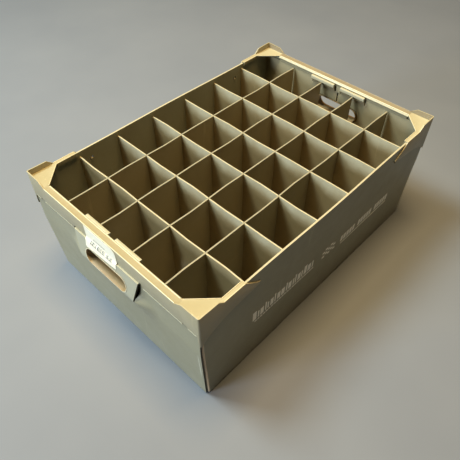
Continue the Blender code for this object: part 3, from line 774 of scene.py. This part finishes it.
def make_dividers():
    """Horizontal flutes; half-height slots where the dividers cross."""
    at_x = spread(6, CELL_PITCH_X)
    at_y = spread(4, CELL_PITCH_Y)
    middle = (STANDING + DIVIDER_TOP) / 2

    def in_slot(along, crossings):
        return min(abs(along - crossing) for crossing in crossings) < DIVIDER_SLOT

    for number, x in enumerate(at_x, 1):
        node = "short_divider_%d" % number
        half = high(node).y
        # The first short divider lies in the ledge's shade and keeps the plain divider sheet; the others take
        # the painted light and shade.
        material = thin_sheet if number == 1 else short_sheet_light_and_shade

        def place(z, y, depth):
            bend = warp(y, [-half] + at_y + [half], number) * (z / DIVIDER_TOP)
            return (x + depth - DIVIDER / 2 + bend, y, z)

        item = fluted(
            "short_grid_%d" % number, flutes([STANDING, middle - 0.3, DIVIDER_TOP], DIVIDER_FLUTE),
            divider_rows(at_y, half), DIVIDER, place,
            lambda z, y: z < middle - 0.3 or not in_slot(y, at_y), ("low", "high"), (material, edge),
            side=1, dip=DIVIDER_DIP)
        stand_for(item, node, "short_divider_set")
    for number, y in enumerate(at_y, 1):
        node = "long_divider_%d" % number
        half = high(node).x

        def place(z, x, depth):
            bend = warp(x, [-half] + at_x + [half], number + 7) * (z / DIVIDER_TOP)
            return (leaned(x, z, start=at_x[-1] + 5, end=half), y + depth - DIVIDER / 2 + bend, z)

        item = fluted(
            "long_grid_%d" % number, flutes([STANDING, middle + 0.3, DIVIDER_TOP], DIVIDER_FLUTE),
            divider_rows(at_x, half), DIVIDER, place,
            lambda z, x: z > middle + 0.3 or not in_slot(x, at_x), ("low", "high"), (thin_sheet, long_edge_painted_shade),
            side=1, dip=DIVIDER_DIP)
        stand_for(item, node, node)


# ---------------------------------------------------------------- mouldings

def moulded_copy(node, name, bevel, material):
    """A CAD moulding with rounded edges, split where its corner plates start."""
    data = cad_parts[node].data.copy()
    data.materials.clear()
    mesh = bmesh.new()
    mesh.from_mesh(data)
    bmesh.ops.remove_doubles(mesh, verts=mesh.verts, dist=0.00001)
    bmesh.ops.dissolve_limit(mesh, angle_limit=math.radians(1), verts=mesh.verts, edges=mesh.edges)
    item = to_object(name, mesh, (material,))
    modifier = item.modifiers.new("edges", "BEVEL")
    modifier.width = bevel * MM
    modifier.segments = 3
    modifier.limit_method = "ANGLE"
    modifier.angle_limit = math.radians(35)
    evaluated(item)
    mesh = bmesh.new()
    mesh.from_mesh(item.data)
    for side in (-1, 1):
        bmesh.ops.bisect_plane(mesh, geom=mesh.verts[:] + mesh.edges[:] + mesh.faces[:], dist=0.000001,
                               plane_co=(0, side * PLATE_Y * MM, 0), plane_no=(0, 1, 0))
    mesh.to_mesh(item.data)
    mesh.free()
    item.data.set_sharp_from_angle(angle=math.radians(40))
    return item


def bead(points, radius, sides=8):
    """Round bead along a polyline, as a closed tube mesh."""
    mesh = bmesh.new()
    rings = []
    path = [Vector(p) for p in points]
    for i, point in enumerate(path):
        before = path[max(i - 1, 0)]
        after = path[min(i + 1, len(path) - 1)]
        along = (after - before).normalized()
        up = Vector((0, 0, 1)) if abs(along.z) < 0.9 else Vector((1, 0, 0))
        side = along.cross(up).normalized()
        up = side.cross(along)
        ring = []
        for k in range(sides):
            angle = 2 * math.pi * k / sides
            offset = side * math.cos(angle) + up * math.sin(angle)
            ring.append(mesh.verts.new((point + offset * radius) * MM))
        rings.append(ring)
    for first, second in zip(rings, rings[1:]):
        for k in range(sides):
            m = (k + 1) % sides
            mesh.faces.new((first[k], first[m], second[m], second[k]))
    mesh.faces.new(rings[0])
    mesh.faces.new(list(reversed(rings[-1])))
    return mesh


def make_beads():
    """Raised rims of both frames: along the ledge, its opening and its arms, and the skirts' lower edges."""
    top = LEDGE_TOP
    arm = ARM_INNER_Y + 0.4
    # Painted highlights: the ledge and arm beads take the pale rim colour, the skirt beads the pale edge
    # highlight.
    paths = [
        ([(-299.2, y, top) for y in steps(-153, 153, 8)], 0.8, rim),
        ([(0.5 - LEDGE_FLAT_X, y, top - 0.6) for y in steps(-154, 154, 8)], 1.0, rim),
    ]
    for side in (-1, 1):
        opening = ((-213, arm), (GUSSET + 0.4 - LEDGE_INNER_X, arm), (-LEDGE_FLAT_X, arm - GUSSET - 2.8))
        paths.append(([(x, side * y, top) for x, y in opening], 0.75, rim))
        paths.append(([(x, side * 199.2, top) for x in (-253, -240, -226, -213)], 0.8, rim))
        paths.append(([(-300, side * y, SKIRT_EDGE_Z) for y in (178, 186, 194)], 0.35, edge_highlight))
        paths.append(([(-300, side * y, SKIRT_EDGE_Z) for y in (84, 110, 140, 166)], 0.35, edge_highlight))
        tip = ((-182, 198.3), (-181.2, 202), (-187.4, 204.8), (-212, 225))
        paths.append(([(x, side * 199.9, z) for x, z in tip], 0.45, moulding))
    beads = []
    for number, (points, radius, material) in enumerate(paths, 1):
        beads.append(to_object("left_frame_bead_%02d" % number, bead(points, radius), (material,), sharp=60))
    for item in beads:
        copy = turned(item, item.name.replace("left", "right"))
        # The right ledge's outer bead takes the painted ledge shade.
        if item == beads[0]:
            copy.data.materials[0] = ledge_shade
        trim(item, "crate")
        trim(copy, "crate")


def mark_edge_highlight(item, kind):
    """Painted highlights: the ledge's inner edge and the grip's outer lip take pale colours for the light
    they catch; the corner plates' upper faces take a paler moulding colour.
    """
    item.data.materials.append(rim if kind == "hand_grip" else edge_highlight)
    item.data.materials.append(plate)
    for face in item.data.polygons:
        middle = face.center / MM
        if kind == "hand_grip":
            if middle.x < 2.0 - BODY_X - tongue_bow(middle.z):
                face.material_index = 1
        elif -LEDGE_FLAT_X - 0.6 < middle.x < 0.2 - LEDGE_INNER_X and middle.z > LEDGE_BOTTOM:
            if abs(middle.y) < PLATE_Y and face.normal.z > -0.2:
                face.material_index = 1
        elif middle.z > LEDGE_TOP - 0.5 and abs(middle.y) > PLATE_Y and face.normal.z > 0.5:
            face.material_index = 2


def make_mouldings():
    for kind, bevel, material in (("end_frame", 0.45, moulding), ("hand_grip", 0.5, grip)):
        item = moulded_copy("left_" + kind, "left_%s_moulding" % kind, bevel, material)
        mark_edge_highlight(item, kind)
        copy = turned(item, "right_%s_moulding" % kind)
        # The right end's ledge top takes the painted ledge shade.
        copy.data.materials.append(ledge_shade)
        for face in copy.data.polygons:
            middle = face.center / MM
            on_top = middle.z > LEDGE_TOP - 0.5 and middle.x > LEDGE_FLAT_X
            if kind == "end_frame" and on_top and face.material_index == 0:
                face.material_index = 3
        stand_for(item, "left_" + kind, "crate")
        stand_for(copy, "right_" + kind, "crate")


# ---------------------------------------------------------------- label and print

LABEL_Y = (-28.0, 47.0)
LABEL_TOP = 225.3
LABEL_BOTTOM = (187.5, 181.5)
LABEL_CORNER = 10.0
LABEL_FOOT_CORNER = 3.0
LABEL_SHEET = 0.22


def label_line():
    """The label's run in (X, Z), from its top edge down over the tongue's top edge."""
    points = [(-300.3, z) for z in steps(LABEL_TOP, 202.0, 6)]
    points += [(-300.45, 200.6), (-300.9, 199.4), (-301.8, 198.2), (-302.9, 197.3), (-303.4, 196.2)]
    for z in steps(194.8, min(LABEL_BOTTOM), 8):
        points.append((-BODY_X - 0.35 - tongue_bow(z), z))
    return points


def label_limits(z):
    """Front and rear limits in Y of the label at height z, its corners rounded."""
    front, rear = LABEL_Y
    over = z - (LABEL_TOP - LABEL_CORNER)
    if over > 0:
        front += LABEL_CORNER - math.sqrt(max(0.0, LABEL_CORNER ** 2 - over ** 2))
    slope = (LABEL_BOTTOM[0] - LABEL_BOTTOM[1]) / (LABEL_Y[1] - LABEL_Y[0])
    if z < LABEL_BOTTOM[0]:
        front += (LABEL_BOTTOM[0] - z) / slope
    under = LABEL_BOTTOM[1] + LABEL_FOOT_CORNER - z
    if under > 0:
        rear -= LABEL_FOOT_CORNER - math.sqrt(max(0.0, LABEL_FOOT_CORNER ** 2 - under ** 2))
    return front, rear


def make_label():
    line = label_line()
    mesh = bmesh.new()
    columns = 18
    skins = []
    for lift in (0.0, LABEL_SHEET):
        grid = []
        for x, z in line:
            front, rear = label_limits(z)
            front = min(front, rear - 0.5)
            across = steps(front, rear, columns)
            grid.append([mesh.verts.new(Vector((x - lift, y, z)) * MM) for y in across])
        skins.append(grid)
    for grid in skins:
        for first, second in zip(grid, grid[1:]):
            for k in range(columns):
                mesh.faces.new((first[k], first[k + 1], second[k + 1], second[k]))
    back, face = skins
    border = [(0, k) for k in range(columns)] + [(r, columns) for r in range(len(line) - 1)]
    border += [(len(line) - 1, k) for k in range(columns, 0, -1)]
    border += [(r, 0) for r in range(len(line) - 1, 0, -1)]
    for (r, k), (s, m) in zip(border, border[1:] + border[:1]):
        mesh.faces.new((back[r][k], back[s][m], face[s][m], face[r][k]))
    item = to_object("label_sheet", mesh, (label_paper,))
    stand_for(item, "label", "crate")


def label_x(z):
    """Face of the label at height z."""
    line = label_line()
    for (x0, z0), (x1, z1) in zip(line, line[1:]):
        if z1 <= z <= z0:
            return x0 + (x1 - x0) * (z0 - z) / (z0 - z1) - LABEL_SHEET - 0.02
    return line[0][0] - LABEL_SHEET - 0.02


def patch(mesh, corner, first_steps, second_steps):
    """Thin raised patch on a surface: corner(a, b, lift) gives its points."""
    top = [[mesh.verts.new(corner(a, b, 1)) for b in second_steps] for a in first_steps]
    bottom = [[mesh.verts.new(corner(a, b, 0)) for b in second_steps] for a in first_steps]
    rows, columns = len(first_steps), len(second_steps)
    for grid in (top, bottom):
        for i in range(rows - 1):
            for j in range(columns - 1):
                mesh.faces.new((grid[i][j], grid[i + 1][j], grid[i + 1][j + 1], grid[i][j + 1]))
    border = [(i, 0) for i in range(rows - 1)] + [(rows - 1, j) for j in range(columns - 1)]
    border += [(i, columns - 1) for i in range(rows - 1, 0, -1)] + [(0, j) for j in range(columns - 1, 0, -1)]
    for (i, j), (k, m) in zip(border, border[1:] + border[:1]):
        mesh.faces.new((top[i][j], top[k][m], bottom[k][m], bottom[i][j]))


def make_label_marks():
    """Plain bars where a label would carry writing."""
    mesh = bmesh.new()

    def corner(y, z, lift):
        return Vector((label_x(z) - 0.06 * lift, y, z)) * MM

    for k in range(9):
        start = 27 - 3.1 * k
        patch(mesh, corner, (start, start - 2.2), steps(208.0, 206.4, 1))
    start = 34.0
    for k in range(22):
        width = (1.7, 1.0, 2.2, 1.2, 0.9)[k % 5]
        if k % 9 != 6:
            patch(mesh, corner, (start, start - width), steps(200.0, 194.0, 12))
        start -= width + 1.0
    item = to_object("label_marks", mesh, (label_ink,))
    trim(item, "crate")


def make_wall_print():
    """Generic marks on the front wall: upright bars, a row of dashes, squares, blocks and a line."""
    mesh = bmesh.new()

    def corner(x, z, lift):
        return Vector((x, -(BODY_Y + wall_bow(x, z) + 0.03 + 0.12 * lift), z)) * MM

    def mark(x, z, width, rise):
        patch(mesh, corner, steps(x, x + width, max(1, int(width / 20))), steps(z, z + rise, 1))

    bars = (8.5, 3.4, 8.0, 3.4, 3.4, 7.6, 3.2, 7.8)
    x = -189.0
    k = 0
    while x < -36:
        width = bars[k % len(bars)]
        mark(x, 101, width, 22 if k % 3 == 0 else 17)
        x += width + (2.4 if k % 2 else 3.4)
        k += 1
    for k in range(23):
        mark(-184 + 6.6 * k, 93.6, 5.0, 3.4)
    for i in range(5):
        for j in range(4):
            if (i + j) % 2 == 0:
                mark(-10 + 7.6 * i, 96 + 5.4 * j, 7.0, 4.8)
    for k in range(17):
        if k % 6 != 5:
            mark(45 + 9.2 * k, 96, 7.2, 15)
    mark(48, 88.6, 152, 2.8)
    item = to_object("front_print", mesh, (wall_ink,))
    trim(item, "crate")


# ---------------------------------------------------------------- stage

FLOOR_HALF = 12.0
FLOOR_GAP = 0.0006
AIM = (0, 0, 0.15)


def add_camera():
    data = bpy.data.cameras.new("camera")
    data.lens = CAMERA_LENS
    data.sensor_width = 36.0
    camera = bpy.data.objects.new("camera", data)
    bpy.context.scene.collection.objects.link(camera)
    back = -CAMERA_FORWARD.normalized()
    right = (CAMERA_RIGHT - back * CAMERA_RIGHT.dot(back)).normalized()
    up = back.cross(right)
    camera.matrix_world = Matrix((
        (right.x, up.x, back.x, CAMERA_PLACE.x),
        (right.y, up.y, back.y, CAMERA_PLACE.y),
        (right.z, up.z, back.z, CAMERA_PLACE.z),
        (0, 0, 0, 1),
    ))
    bpy.context.scene.camera = camera


def add_light(name, place, target, size, watts, colour):
    data = bpy.data.lights.new(name, "AREA")
    data.shape = "SQUARE"
    data.size = size
    data.energy = watts
    data.color = colour
    light = bpy.data.objects.new(name, data)
    bpy.context.scene.collection.objects.link(light)
    light.location = place
    light.rotation_euler = (Vector(target) - Vector(place)).to_track_quat("-Z", "Y").to_euler()


def add_stage():
    half = FLOOR_HALF
    drop = -FLOOR_GAP
    mesh = bmesh.new()
    corners = [(-half, -half, drop), (half, -half, drop), (half, half, drop), (-half, half, drop)]
    mesh.faces.new([mesh.verts.new(corner) for corner in corners])
    to_object("floor", mesh, (floor_surface("floor_pale"),))
    add_light("key", (-0.75, 1.1, 2.4), AIM, 0.8, 82, (0.88, 1.0, 0.90))
    add_light("overhead", (0.0, 0.0, 2.6), AIM, 1.0, 84, (1.0, 0.70, 0.31))
    add_light("window", (-2.8, 0.9, 0.95), AIM, 0.8, 68, (0.84, 0.95, 1.0))
    world = bpy.data.worlds.new("studio")
    world.use_nodes = True
    background = world.node_tree.nodes["Background"]
    background.inputs["Color"].default_value = (0.9, 0.95, 1.0, 1)
    background.inputs["Strength"].default_value = 0.01
    bpy.context.scene.world = world
    bpy.context.scene.view_settings.view_transform = "Standard"


def finish_flaps():
    """The tucked flaps lie between the end panels and keep their CAD shape."""
    for name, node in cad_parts.items():
        if name.startswith("flap"):
            node.data.materials.clear()
            node.data.materials.append(sheet)


def build():
    add_camera()
    add_stage()
    make_long_wall("front_wall", -1)
    make_long_wall("rear_wall", 1)
    make_base()
    make_outer_end()
    make_inner_end()
    make_dividers()
    make_mouldings()
    make_beads()
    make_label()
    make_label_marks()
    make_wall_print()
    finish_flaps()


build()
